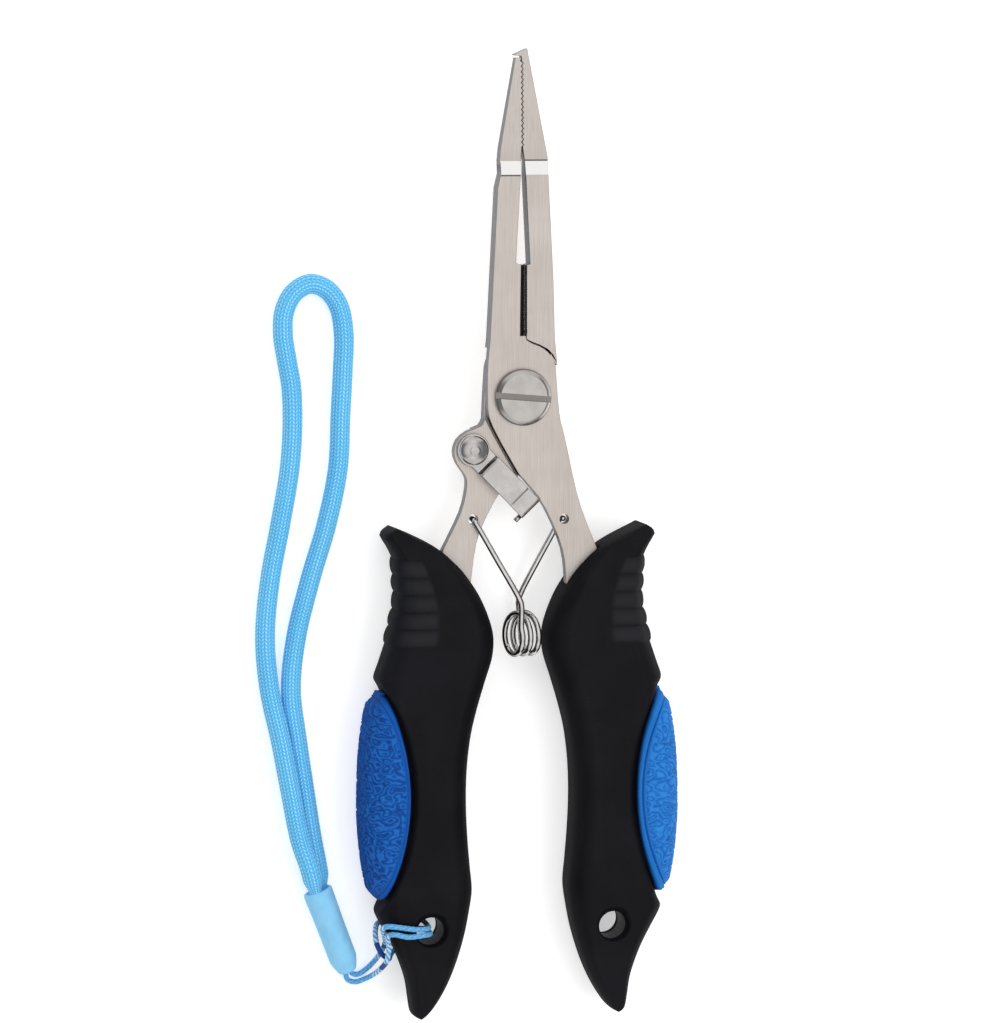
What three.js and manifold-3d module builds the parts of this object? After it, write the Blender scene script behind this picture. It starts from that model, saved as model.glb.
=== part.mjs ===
// Fishing pliers lying closed on a flat surface: two lapped steel halves on a slotted pivot, rubber
// grips moulded over plastic cores, a swing-over lock, a torsion spring and a wrist strap.
// Millimetres, +Z up, +Y towards the jaw tips. Everything is drawn about the pivot axis; the group
// is moved at the end, so that its origin is under the middle of the pliers.
import * as THREE from 'three';
import { mergeVertices } from 'three/addons/utils/BufferGeometryUtils.js';
import { ParametricGeometry } from 'three/addons/geometries/ParametricGeometry.js';
import Module from 'manifold-3d';

const wasm = await Module();
wasm.setup();

// Clearances
const gap = 0.3; // round a piece that another is cut to fit
const seat = 0.1; // under heads and other flat seats

// Steel halves
const jawReach = 71.7; // pivot to jaw tip
const frontFace = 10.3; // height of the front faces
const lapThickness = 2.85; // each half where the two lie on each other
const jawThickness = 4.7;
const armTop = 8.7; // the left arm steps up beside the front half
const armThickness = 3;
const toothPitch = 1.1;
const toothDepth = 0.4;
const cutterPitch = 0.52;
const cutterDepth = 0.16;
const springHoleRadius = 1.05;

// Pivot
const screwHeadRadius = 5.85;
const screwHeadHeight = 1.6;
const screwSlotWidth = 1.3;
const screwRadius = 2.6;
const sleeveNutRadius = 3.9;
const nutFlangeRadius = 5.2;
const nutFlangeHeight = 1.3;

// Lock
const leverThickness = 1;
const leverHalfWidth = 2.6;
const leverReach = 17.2; // rivet to the outside of the turned-down tab
const leverAngle = -46.2 * Math.PI / 180;
const rivetPlace = new THREE.Vector2(-10.2, -10.9);
const rivetRadius = 1.4;
const rivetHeadRadius = 3.05;

// Spring
const wireDiameter = 1.2;
const coilRadius = 4.25; // to the middle of the wire
const coilTurns = 2.55;
const coilLength = 5;
const coilCentre = new THREE.Vector3(0.3, -49.3, 7.8);
const coilAxis = new THREE.Vector3(-0.94, 0, 0.34).normalize(); // towards the left leg's end
const springHoleLeft = new THREE.Vector2(-10.1, -25.3);
const springHoleRight = new THREE.Vector2(8.8, -25.4);

// Grips, drawn as u, the distance from the line midway between them, and s, the distance below the pivot
const handleMiddle = -0.65; // x of that line
const gripThickness = 16;
const gripEnd = 129.1; // pivot to the end of the grips
const gripWall = 2.6; // rubber over the core
const padProud = 0.8;
const padDepth = 1.6; // depth of the pad's bed below the grip's surface
const lanyardRadius = 3;
const coreTop = 42;
const coreEnd = 119;
const ribPitch = 3.55;
const ribCount = 5;
const ribHeight = 0.65;

// Strap
const strapDiameter = 4.2;
const tetherDiameter = 1.1;
const ferruleRadius = 2.95;
const ferruleLength = 17.4;

const colours = {
  steel: { color: 0xc9c0ba, roughness: 0.38, metalness: 1 },
  bright: { color: 0xd9d9dc, roughness: 0.18, metalness: 1 },
  core: { color: 0x3a3b3f, roughness: 0.6, metalness: 0 },
  rubber: { color: 0x201f23, roughness: 0.55, metalness: 0 },
  blue: { color: 0x1d62b4, roughness: 0.5, metalness: 0 },
  cord: { color: 0x62bcec, roughness: 0.75, metalness: 0 },
  ferrule: { color: 0x8ccbf0, roughness: 0.6, metalness: 0 },
};

// ---- helpers ----

function signedVolume(points, triangles) {
  const corner = (i) => new THREE.Vector3().fromArray(points, 3 * i);
  let sum = 0;
  for (let i = 0; i < triangles.length; i += 3) {
    const [a, b, c] = [corner(triangles[i]), corner(triangles[i + 1]), corner(triangles[i + 2])];
    sum += a.dot(b.cross(c));
  }
  return sum;
}

// A solid from a closed three.js geometry: vertices merged, collapsed triangles dropped, faces out.
function solidOf(geometry) {
  geometry.deleteAttribute('normal');
  geometry.deleteAttribute('uv');
  const merged = mergeVertices(geometry, 1e-3);
  const points = merged.attributes.position.array;
  const index = merged.index.array;
  const kept = [];
  for (let i = 0; i < index.length; i += 3) {
    const [a, b, c] = [index[i], index[i + 1], index[i + 2]];
    if (a !== b && b !== c && c !== a) kept.push(a, b, c);
  }
  if (signedVolume(points, kept) < 0) kept.reverse();
  const mesh = new wasm.Mesh({ numProp: 3, vertProperties: points, triVerts: new Uint32Array(kept) });
  return new wasm.Manifold(mesh);
}

function meshOf(name, solid, look) {
  const { vertProperties, triVerts } = solid.getMesh();
  const geometry = new THREE.BufferGeometry();
  geometry.setAttribute('position', new THREE.BufferAttribute(vertProperties, 3));
  geometry.setIndex(new THREE.BufferAttribute(triVerts, 1));
  geometry.computeVertexNormals();
  const mesh = new THREE.Mesh(geometry, new THREE.MeshStandardMaterial(look));
  mesh.name = name;
  return mesh;
}

const shapeOf = (points) => new THREE.Shape(points.map(([x, y]) => new THREE.Vector2(x, y)));

// An outline in the XY plane, given thickness between two heights.
function plate(points, low, high) {
  const geometry = new THREE.ExtrudeGeometry(shapeOf(points), { depth: high - low, bevelEnabled: false });
  return solidOf(geometry.translate(0, 0, low));
}

// A (y, z) outline, extruded along X from left to right.
function sideProfile(points, left, right) {
  const geometry = new THREE.ExtrudeGeometry(shapeOf(points), { depth: right - left, bevelEnabled: false });
  const [along, up, across] = [[0, 1, 0], [0, 0, 1], [1, 0, 0]].map((v) => new THREE.Vector3(...v));
  geometry.applyMatrix4(new THREE.Matrix4().makeBasis(along, up, across));
  return solidOf(geometry.translate(left, 0, 0));
}

// A turned piece about a vertical axis, from (radius, z) points that start and end on the axis.
function turned(profile, at, sides = 32) {
  const points = profile.map(([radius, z]) => new THREE.Vector2(radius, z));
  return solidOf(new THREE.LatheGeometry(points, sides).rotateX(Math.PI / 2).translate(at.x, at.y, 0));
}

function disc(radius, at, low, high, sides = 32) {
  return turned([[0, low], [radius, low], [radius, high], [0, high]], at, sides);
}

// Points of a smooth curve through a few given ones.
function smooth(points, pieces) {
  const curve = new THREE.SplineCurve(points.map(([x, y]) => new THREE.Vector2(x, y)));
  return curve.getPoints(pieces).map((p) => [p.x, p.y]);
}

// A smooth function through (position, value) pairs, level beyond its ends.
function smoothTable(pairs) {
  const positions = pairs.map(([position]) => position);
  const curve = new THREE.CubicInterpolant(positions, pairs.map(([, value]) => value), 1);
  return (at) => curve.evaluate(THREE.MathUtils.clamp(at, positions[0], positions.at(-1)))[0];
}

// A tube along a curve.
function tube(curve, diameter, steps, sides) {
  const section = new THREE.Shape();
  for (let i = 0; i < sides; i++) {
    const angle = 2 * Math.PI * i / sides;
    const point = [diameter / 2 * Math.cos(angle), diameter / 2 * Math.sin(angle)];
    if (i === 0) section.moveTo(...point);
    else section.lineTo(...point);
  }
  return solidOf(new THREE.ExtrudeGeometry(section, { steps, extrudePath: curve, bevelEnabled: false }));
}

const curveThrough = (points) => new THREE.CatmullRomCurve3(points.map((p) => new THREE.Vector3(...p)));

const origin = new THREE.Vector2(0, 0);

// ---- steel halves ----

const jawRoot = 12; // the jaws stretch from here
const drawnReach = 71.7; // reach that the jaw outlines below are drawn for
const jawStretch = (jawReach - jawRoot) / (drawnReach - jawRoot);
const alongJaw = (y) => (y < jawRoot ? y : jawRoot + (y - jawRoot) * jawStretch);

// A toothed edge between two heights, with its crests towards +X.
function teeth(x, low, high, pitch, depth) {
  const count = Math.round((high - low) / pitch);
  const points = [];
  for (let i = 0; i < count; i++) {
    const y = low + (high - low) * i / count;
    points.push([x - depth / 2, y], [x + depth / 2, y + (high - low) / count / 2]);
  }
  points.push([x - depth / 2, high]);
  return points;
}

const toothLow = alongJaw(51.4);
const toothHigh = alongJaw(69.1);
const jawSeam = 0.1;
const cutterLow = 13.6;
const cutterHigh = alongJaw(27.2);

// The upper edge of the front boss, which the back half's jaw is cut round.
const bossEdge = smooth([[7, 6.3], [6.4, 8], [5.2, 9.4], [3.7, 10.4], [1.9, 11.1], [0.8, 11.7]], 8);
// Where a half leaves the pivot on its own jaw's side, down to the tang.
const jawSide = smooth([
  [6.8, jawRoot], [7.3, 6.7], [7.4, 0.6], [7, -4.2], [5, -8.5], [2.6, -12.8], [0.8, -15.9],
], 14);
const innerArm = smooth([
  [0.8, -15.9], [-1.9, -19], [-4.2, -22], [-6.9, -27.4], [-8.6, -32.2], [-9.1, -35.8],
], 9);
const outerArm = smooth([[15.8, -31.6], [14.5, -28.5], [12.7, -23.9], [11.2, -18.9], [9.9, -12.8],
  [8.6, -7], [7.9, -4.4], [7.4, 0.4], [7, 6.3]], 14);
const flip = (points) => points.map(([x, y]) => [-x, y]);
const mirrored = (points) => points.map(([x, y]) => [2 * handleMiddle - x, y]);

// The tang inside the right grip, from the inside of the mouth round to the outside.
const tangEnd = 96;
const tangLine = [[10.2, -44], [13, -58], [16.4, -74], [17.2, 2 - tangEnd], [19, -tangEnd],
  [20.6, -tangEnd], [22.4, 2 - tangEnd], [22.4, -74], [20.3, -58], [18, -45], [16.5, -36]];

const leftJaw = [
  ...teeth(jawSeam - gap / 2, toothLow, toothHigh, toothPitch, toothDepth),
  [-0.1, alongJaw(69.8)], [-1.3, alongJaw(69.8)], [-4.5, alongJaw(51.2)], [-4.7, alongJaw(48.7)],
  [-4.5, alongJaw(46)], [-5.2, alongJaw(43.1)], [-6.3, alongJaw(22.2)],
];
const frontPlan = [
  [0.6, 12.3], [0.65, cutterHigh], [-0.6, cutterHigh + 0.1], [-1.4, cutterHigh + 0.5],
  [-0.4, alongJaw(45.4)], [-0.3, alongJaw(48.5)],
  ...leftJaw,
  ...flip(jawSide), ...flip(innerArm).slice(1), [9.3, -38.5],
  ...tangLine,
  ...outerArm, ...bossEdge.slice(1),
];

const leftArmEdge = smooth([[-7.6, -4.6], [-8.4, -6], [-11.2, -7.1], [-13.3, -8.8], [-14.1, -11.2],
  [-13.5, -13.6], [-12, -15.8], [-11.4, -17.4], [-11.7, -20.3], [-12.7, -23.9], [-14.8, -28.3],
  [-16.5, -31.6]], 22);
const leftInnerArm = smooth([
  [0.8, -15.9], [-2.6, -18.2], [-4.9, -20.4], [-8.2, -26.7], [-9.6, -31], [-10.3, -35.8],
], 9);
const rightJaw = [
  [0.95, 12.2],
  ...teeth(1 - cutterDepth / 2, cutterLow, cutterHigh, cutterPitch, cutterDepth),
  [1.6, cutterHigh + 0.2], [0.7, alongJaw(45.4)], [0.6, alongJaw(48.5)],
  ...teeth(jawSeam + gap / 2, toothLow, toothHigh, toothPitch, toothDepth),
  [-0.05, alongJaw(70.1)], [-1.3, alongJaw(70.2)], [-1.7, alongJaw(70.4)], [1.2, jawReach],
  [5.4, alongJaw(49.3)], [5.5, alongJaw(44)], [6.5, alongJaw(24.1)],
];
const backPlan = [
  ...rightJaw,
  ...jawSide, ...leftInnerArm.slice(1), [-10.6, -38.5],
  ...mirrored(tangLine),
  ...leftArmEdge.slice().reverse(),
  [-7.4, 0.4], ...flip(bossEdge),
];

// What the front half covers and sweeps: the back half is cut away there above the lap.
const aroundBoss = bossEdge.map(([x, y]) => {
  const reach = Math.hypot(x, y);
  return [x * (reach + gap) / reach, y * (reach + gap) / reach];
});
const lapSide = gap + 0.15;
const frontLap = [
  [0.8, jawRoot + 0.35], [-20, jawRoot + 0.35], [-20, -4.4], [-7.1 - lapSide, -4.4],
  [-5 - lapSide, -8.5], [-2.6 - lapSide, -12.8], [-0.8 - lapSide, -15.9], [1.9 - lapSide, -19],
  [20, -19], [20, 6], ...aroundBoss,
];

// The jaws thin towards their tips in a short slanted step and a long taper.
const bandStart = alongJaw(45.5);
const bandEnd = alongJaw(48.4);
const bandStep = 0.6;
const tipTaper = 0.55;
const jawBack = frontFace - jawThickness;
const lapBack = frontFace - 2 * lapThickness - gap;
const jawProfile = [
  [-gripEnd, lapBack - 1], [jawRoot - 1, lapBack - 1], [jawRoot - 1, jawBack], [bandStart, jawBack],
  [bandEnd, jawBack + bandStep], [jawReach, jawBack + bandStep + tipTaper],
  [jawReach, frontFace - bandStep - tipTaper], [bandEnd, frontFace - bandStep], [bandStart, frontFace],
  [-gripEnd, frontFace],
];
const jawForm = sideProfile(jawProfile, -30, 30);
const jawSideOnly = plate([[-20, 0], [20, 0], [20, jawReach + 1], [-20, jawReach + 1]], 0, 20);
const armSideOnly = plate([[-30, 0], [30, 0], [30, -gripEnd], [-30, -gripEnd]], 0, 20);
const pivotBore = disc(sleeveNutRadius + 0.15, origin, 0, 20);
const springHoles = [springHoleLeft, springHoleRight].map((at) => disc(springHoleRadius, at, 0, 20, 16));

// What is ground off the front half's jaw beside the line cutter: a slope down to the cutting edge.
function cutterGround() {
  const slope = shapeOf([[-0.5, frontFace], [2, frontFace + 0.1], [2, jawBack + 0.7]]);
  const depth = cutterHigh - cutterLow + 1;
  const geometry = new THREE.ExtrudeGeometry(slope, { depth, bevelEnabled: false });
  return solidOf(geometry.rotateX(Math.PI / 2).translate(0, cutterHigh + 0.05, 0));
}

function makeFrontHalf() {
  const lapRadius = jawRoot + gap;
  const lap = disc(lapRadius, origin, 0, frontFace - lapThickness, 48);
  const thick = plate(frontPlan, jawBack, frontFace).intersect(jawSideOnly).subtract(lap);
  const thin = plate(frontPlan, frontFace - lapThickness, frontFace);
  return thick.add(thin).intersect(jawForm)
    .subtract(cutterGround()).subtract(pivotBore).subtract(springHoles[1]);
}

function makeBackHalf() {
  const boss = plate(backPlan, lapBack, lapBack + lapThickness)
    .intersect(disc(jawRoot + seat, origin, 0, 20, 48));
  const jaw = plate(backPlan, jawBack, frontFace).intersect(jawSideOnly);
  const arm = plate(backPlan, armTop - armThickness, armTop).intersect(armSideOnly);
  const lap = plate(frontLap, lapBack + lapThickness, frontFace + 1);
  const rivetBore = disc(rivetRadius + 0.15, rivetPlace, 0, 20, 20);
  return jaw.add(arm).subtract(lap).add(boss).intersect(jawForm)
    .subtract(pivotBore).subtract(springHoles[0]).subtract(rivetBore);
}

// ---- pivot ----

function makeScrew() {
  const under = frontFace + seat;
  const top = under + screwHeadHeight;
  const rim = 0.95; // width of the head's turned bevel
  const end = lapBack - seat - nutFlangeHeight + 0.4;
  const body = turned([[0, end], [screwRadius, end], [screwRadius, under], [screwHeadRadius, under],
    [screwHeadRadius, top - 0.7], [screwHeadRadius - rim, top], [0, top]], origin, 48);
  const slot = new THREE.BoxGeometry(3 * screwHeadRadius, screwSlotWidth, 2 * 0.8);
  return body.subtract(solidOf(slot.rotateZ(-5 * Math.PI / 180).translate(0, 0, top)));
}

function makeNut() {
  const top = lapBack - seat;
  const low = top - nutFlangeHeight;
  const outer = turned([
    [0, low], [nutFlangeRadius - 0.5, low], [nutFlangeRadius, low + 0.5], [nutFlangeRadius, top],
    [sleeveNutRadius, top], [sleeveNutRadius, frontFace - seat], [0, frontFace - seat],
  ], origin, 40);
  return outer.subtract(disc(screwRadius + 0.15, origin, 0, 20, 28));
}

// ---- lock ----

const leverBends = [4.5, 12]; // from the rivet: where the lever starts to rise, and where it is level again
const leverLow = armTop + seat; // underside on the left arm
const leverHigh = frontFace + gap; // underside over the right arm
const tabLow = armTop + gap;

function makeLever() {
  const t = leverThickness;
  const [rise, level] = leverBends;
  const side = [
    [-5, leverLow], [rise, leverLow], [level, leverHigh], [leverReach - t, leverHigh],
    [leverReach - t, tabLow], [leverReach, tabLow], [leverReach, leverHigh + 0.5 * t],
    [leverReach - 0.5 * t, leverHigh + t], [level - 0.2, leverHigh + t], [rise - 0.2, leverLow + t],
    [-5, leverLow + t],
  ];
  const across = new THREE.ExtrudeGeometry(shapeOf(side), { depth: 10, bevelEnabled: false });
  const strip = solidOf(across.rotateX(Math.PI / 2).translate(0, 5, 0));
  const half = leverHalfWidth;
  const plan = [
    [leverReach + 1, half - 0.3], [leverReach - t - 0.2, half - 0.1],
  [leverReach - t - 0.4, half + 0.3], [level, half + 0.1], [2.4, half],
  ];
  const headRadius = 3.4;
  const headSteps = 14;
  const headStart = 0.9; // angle at which the round head leaves the strip
  for (let i = 0; i <= headSteps; i++) {
    const angle = headStart + 2 * (Math.PI - headStart) * i / headSteps;
    plan.push([headRadius * Math.cos(angle), headRadius * Math.sin(angle)]);
  }
  plan.push([2.4, -half], [level, -half - 0.1], [leverReach + 1, -half - 0.3]);
  const ear = new THREE.BoxGeometry(0.8, 1.4, 1.1);
  ear.translate(leverReach - t / 2, -half - 0.6, tabLow + 0.55);
  const lever = strip.intersect(plate(plan, 0, 20)).add(solidOf(ear))
    .subtract(disc(rivetRadius + 0.15, origin, 0, 20, 20));
  const turn = THREE.MathUtils.radToDeg(leverAngle);
  return lever.rotate([0, 0, turn]).translate([rivetPlace.x, rivetPlace.y, 0]);
}

// The rivet: a flat foot under the arm, a shank, and a domed head on the lever.
function makeRivet() {
  const footTop = armTop - armThickness - seat;
  const under = leverLow + leverThickness + seat;
  const domeHeight = 1.7;
  const domeStart = 0.2; // angle of the dome's edge
  const profile = [[0, footTop - 0.9], [2, footTop - 0.9], [2.5, footTop - 0.4], [2.5, footTop],
    [rivetRadius, footTop], [rivetRadius, under], [rivetHeadRadius, under]];
  const domeSteps = 6;
  for (let i = 0; i < domeSteps; i++) {
    const angle = domeStart + (Math.PI / 2 - domeStart) * i / domeSteps;
    const radius = rivetHeadRadius * Math.cos(angle) / Math.cos(domeStart);
    profile.push([radius, under + domeHeight * Math.sin(angle)]);
  }
  profile.push([0, under + domeHeight]);
  return turned(profile, rivetPlace, 20);
}

// ---- spring ----

// The spring: a leg over the left arm, a leaning coil, and a leg under the right arm.
function makeSpring() {
  const up = new THREE.Vector3(0, 1, 0);
  const front = new THREE.Vector3().crossVectors(up, coilAxis);
  const overArm = armTop + gap + wireDiameter / 2;
  const underArm = frontFace - lapThickness - gap - wireDiameter / 2;
  const left = springHoleLeft;
  const right = springHoleRight;
  const firstLeg = [
    [left.x, left.y, armTop - 2.4], [left.x, left.y, armTop - 0.8],
    [left.x + 0.15, left.y - 0.35, overArm - 0.25], [left.x + 0.9, left.y - 1.6, overArm + 0.05],
    [left.x + 4.8, left.y - 8.5, overArm + 0.6], [-1, -41.5, overArm + 1.4], [-0.5, -43, overArm + 1.7],
  ];
  const lastLeg = [
    [0.9, -46, 3.1], [0.6, -42.9, 3.6], [1.2, -41, 3.8], [4.3, -34.6, 5],
    [right.x - 1.2, right.y - 2.6, underArm - 0.2], [right.x - 0.15, right.y - 0.4, underArm + 0.15],
    [right.x, right.y, underArm + 1.5], [right.x, right.y, underArm + 3],
  ];
  const coil = [];
  const firstAngle = 1.2; // from the top of the coil, towards the front
  const steps = 40;
  for (let i = 0; i <= steps; i++) {
    const angle = firstAngle + 2 * Math.PI * coilTurns * i / steps;
    const point = coilCentre.clone().addScaledVector(coilAxis, coilLength * (0.5 - i / steps));
    point.addScaledVector(up, coilRadius * Math.cos(angle));
    point.addScaledVector(front, coilRadius * Math.sin(angle));
    coil.push(point.toArray());
  }
  return tube(curveThrough([...firstLeg, ...coil, ...lastLeg]), wireDiameter, 80, 8);
}

// ---- grips ----

const padTop = 60.3;
const drawnEnd = 129.1; // end that the grip tables below are drawn for
const stretch = (gripEnd - padTop) / (drawnEnd - padTop);
const alongGrip = (s) => (s < padTop ? s : padTop + (s - padTop) * stretch);
const stretched = (pairs) => pairs.map(([s, value]) => [alongGrip(s), value]);

const gripOuter = smoothTable(stretched([[26.6, 26.4], [27.4, 27.9], [28.4, 28.6], [29.3, 28.2],
  [30.4, 27.5], [32.2, 26.5], [34, 25.9], [38, 25.6], [42, 25.5], [46, 26.3], [50, 27.3],
  [54.5, 28.8], [58.6, 30.1], [60.3, 29.5], [64, 30.9], [68, 31.7], [74, 32.4], [81, 32.7],
  [87.5, 32.7], [94, 32.2], [99, 31.5], [102.8, 30.6], [104.4, 29.7], [106.4, 30.1], [108, 29.6],
  [110.6, 28.2], [114.6, 26.1], [118, 24.7], [121.5, 23.6], [125.5, 23], [127.6, 22.7],
  [128.6, 22.2], [129.1, 21.1]]));
const gripInner = smoothTable(stretched([[26.6, 26.3], [27.2, 24.7], [28.4, 22], [29.9, 19.1],
  [31.5, 16.6], [33, 14.9], [35.6, 12.3], [39, 9.8], [41.8, 8.2], [45.2, 6.75], [48.5, 5.8],
  [51.4, 5.65], [54.4, 6.1], [59.1, 7.6], [64.3, 9.15], [69.5, 10.4], [75, 11.15], [80, 11.45],
  [85.5, 11.45], [91.5, 11.15], [96.8, 10.7], [101.8, 10.2], [105, 10.5], [110.6, 11.5], [115, 12.7],
  [119.5, 14.3], [123.5, 16.2], [127, 18.4], [128.6, 19.9], [129.1, 21]]));
const gripHalf = smoothTable(stretched([[26.6, 0.62], [30, 0.78], [36, 0.92], [42, 1], [46, 1],
  [60, 1], [90, 1], [95, 1], [104, 0.88], [110, 0.79], [118, 0.7], [125, 0.58], [129.1, 0.4]]));
const ribStart = 33.1;

// How far the ribs stand out at s.
function ribRise(s) {
  const along = (s - ribStart) / ribPitch;
  return along < 0 || along > ribCount ? 0 : ribHeight * Math.sqrt(Math.abs(Math.sin(Math.PI * along)));
}

// A point of a grip's surface, or of one grown outwards: a rounded box section with level faces.
function gripPoint(side, s, turn, grow) {
  const low = gripInner(s);
  const high = gripOuter(s);
  const corner = (value) => Math.sign(value) * Math.abs(value) ** (2 / 3.4);
  const across = corner(Math.cos(turn));
  const up = THREE.MathUtils.clamp(1.07 * corner(Math.sin(turn)), -1, 1);
  const rib = ribRise(s) * THREE.MathUtils.smoothstep(across, 0.1, 0.45);
  const half = (high - low) / 2;
  const width = half + Math.max(grow, 0.1 - half) + rib;
  const height = Math.min(gripHalf(s), 1) * gripThickness / 2 + Math.min(grow, 0);
  const u = (high + low) / 2 + width * across;
  return [handleMiddle + side * u, -s, gripThickness / 2 + height * up];
}

// The solid between two stations of a grip, closed by a flat section at each end.
function gripSolid(side, stations, grow, sides) {
  const last = stations.length - 1;
  const surface = (turn, along, target) => {
    const row = THREE.MathUtils.clamp(Math.round(along * (last + 2)) - 1, 0, last);
    const s = stations[row];
    if (along === 0 || along === 1) {
      const middle = (gripInner(s) + gripOuter(s)) / 2;
      target.set(handleMiddle + side * middle, -s, gripThickness / 2);
    } else {
      target.set(...gripPoint(side, s, 2 * Math.PI * (turn % 1), grow));
    }
  };
  return solidOf(new ParametricGeometry(surface, sides, last + 2));
}

function stationsBetween(from, to, count) {
  return Array.from({ length: count + 1 }, (_, i) => from + (to - from) * i / count);
}

const gripStations = [
  26.65, 27.3, 28.4, 29.8, 31.4, ...stationsBetween(ribStart, ribStart + ribPitch * ribCount, 4 * ribCount),
  ...[
    54.5, 58.6, 60.3, 64, 69, 75, 82, 89, 95, 100, 103.5, 104.8, 106.4, 108.4, 111, 115, 119, 123, 126.5,
    128.3, 129.1,
  ].map(alongGrip),
];
const bedStations = gripStations.filter((s) => s > padTop - 6);
const padCentre = { u: 65.2, s: alongGrip(82.2) };
const padArc = 41;
const lanyardPlace = { u: 19.35, s: alongGrip(110.4) };

// A vertical cutter with the plan shape of a pad's inner edge.
function padEdge(side, grow) {
  const radius = padArc + grow;
  const reach = 0.66; // half angle of the arc that crosses the grip
  const points = [];
  for (let i = 0; i <= 20; i++) {
    const angle = Math.PI - reach + 2 * reach * i / 20;
    const u = padCentre.u + radius * Math.cos(angle);
    points.push([handleMiddle + side * u, -padCentre.s + radius * Math.sin(angle)]);
  }
  const beyond = handleMiddle + side * padCentre.u;
  points.push([beyond, points.at(-1)[1]], [beyond, points[0][1]]);
  return plate(points, -2, gripThickness + 2);
}

const armClear = gap + 0.05;

// The room that a half's arm and tang need inside its grip.
function tangRoom(side) {
  const top = side > 0 ? frontFace : armTop;
  const thickness = side > 0 ? lapThickness : armThickness;
  const inner = [[7.2, -27.5], [8.5, -32.2], [9, -35.8], [9.2, -38.5], ...tangLine.slice(0, 4)];
  const outer = [...tangLine.slice(6, 10), [16.7, -36], [16.2, -31.6], [14.9, -28.3]];
  const points = [
    ...inner.map(([x, y]) => [x - armClear, y]),
    [18.9, -tangEnd - gap], [20.7, -tangEnd - gap],
    ...outer.map(([x, y]) => [x + armClear, y]),
  ];
  return plate(side > 0 ? points : mirrored(points), top - thickness - gap, top + gap);
}

function lanyardHole(side) {
  const at = new THREE.Vector2(handleMiddle + side * lanyardPlace.u, -lanyardPlace.s);
  return disc(lanyardRadius, at, -1, gripThickness + 1, 24);
}

const coreStations = stationsBetween(coreTop, alongGrip(coreEnd), 14);
const cavityStations = stationsBetween(coreTop - gap, alongGrip(coreEnd) + gap, 14);

function makeCore(side) {
  const core = gripSolid(side, coreStations, -gripWall - gap, 12);
  return core.subtract(tangRoom(side)).subtract(lanyardHole(side));
}

function makeSleeve(side) {
  const bed = gripSolid(side, bedStations, -padDepth, 14);
  const recess = padEdge(side, gap).subtract(bed);
  return gripSolid(side, gripStations, 0, 18).subtract(recess)
    .subtract(gripSolid(side, cavityStations, -gripWall, 12))
    .subtract(tangRoom(side)).subtract(lanyardHole(side));
}

function makePad(side) {
  const stations = gripStations.filter((s) => s > padTop - 3 && s < alongGrip(107));
  const outside = gripSolid(side, stations, padProud, 18);
  const bed = gripSolid(side, bedStations, gap - padDepth, 14);
  return outside.intersect(padEdge(side, 0)).subtract(bed);
}

// ---- strap ----

// The strap's route, from the ferrule up the left run, round the loop and back down the right run.
const strapRoute = [
  [-43, -101.9, 6], [-44.3, -97, 6.2], [-46, -91.8, 5.6], [-48, -81.2, 4.9], [-49.9, -70.8, 4.5],
  [-51.9, -60.4, 2.9], [-52.7, -49.6, 2.2], [-51.6, -37.6, 2.2], [-49.4, -26.1, 2.2],
  [-47.4, -14.5, 2.2], [-46.8, -5.8, 2.2], [-47, 2.1, 2.2], [-47.9, 7.6, 2.2], [-48.7, 13, 2.2],
  [-48.4, 17.8, 2.2], [-46.4, 21.6, 2.2], [-43, 23.4, 2.2], [-39.5, 22.2, 2.2], [-37, 18.7, 2.2],
  [-36, 13, 2.2], [-36.2, 6, 2.2], [-36.7, -3.3, 2.2], [-37.3, -14.7, 2.2], [-39.7, -26.2, 2.2],
  [-43.2, -37.8, 2.2], [-46.2, -49.8, 2.2], [-47.3, -60.5, 2.2], [-46.1, -70.9, 2.2],
  [-44.6, -81.3, 2.2], [-43, -91.8, 2.2], [-42, -97, 2.15], [-41.3, -101.4, 2.15],
];

// The tether's route: out of the ferrule, up the side of the left grip, over its front into the
// lanyard hole, back round behind, across both strands as the hitch, and the same way back beside itself.
const tetherRoute = [
  [-35.1, -118.8, 2.4], [-34.5, -120.5, 1.4], [-33.2, -120.9, 0.8], [-31.6, -120, 0.9],
  [-30.2, -118.3, 2.2], [-29.3, -116.3, 4.4], [-28.8, -114.4, 6.6], [-28.8, -112.7, 8.8],
  [-29.5, -110.9, 11.2], [-30.2, -109.3, 13.3], [-29.4, -108.6, 15.1], [-27.2, -108.8, 15.6],
  [-23.5, -109.4, 15.4], [-20.8, -109.6, 13.6], [-20.1, -109.4, 8], [-20.5, -109.3, 2.6],
  [-22.6, -109.2, 0.95], [-26.2, -109.4, 0.9], [-28.9, -110, 1.7], [-30, -110.7, 4.4],
  [-30.5, -111.9, 6.8], [-30.4, -113.6, 8.2], [-29.6, -115.3, 8.8], [-28, -116.6, 7.4],
  [-27.2, -117, 5], [-26.4, -116.6, 2.5], [-24.6, -115, 1.4], [-22.4, -112.8, 1.1],
  [-20.4, -111.4, 2.4], [-19.7, -111.1, 7], [-20.1, -110.9, 12.6], [-22.2, -110.7, 15.3],
  [-25.2, -110.9, 15.4], [-28.2, -110.3, 15.2], [-29.2, -110.9, 13.7], [-28.6, -113.6, 11.6],
  [-28.7, -116.4, 10.2], [-29.2, -118.5, 7.2], [-30.3, -120.5, 3.6], [-31.8, -121.9, 1.1],
  [-33.6, -122.5, 0.75], [-35.3, -121.9, 1.1], [-36.2, -119.4, 2.3],
];

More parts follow.
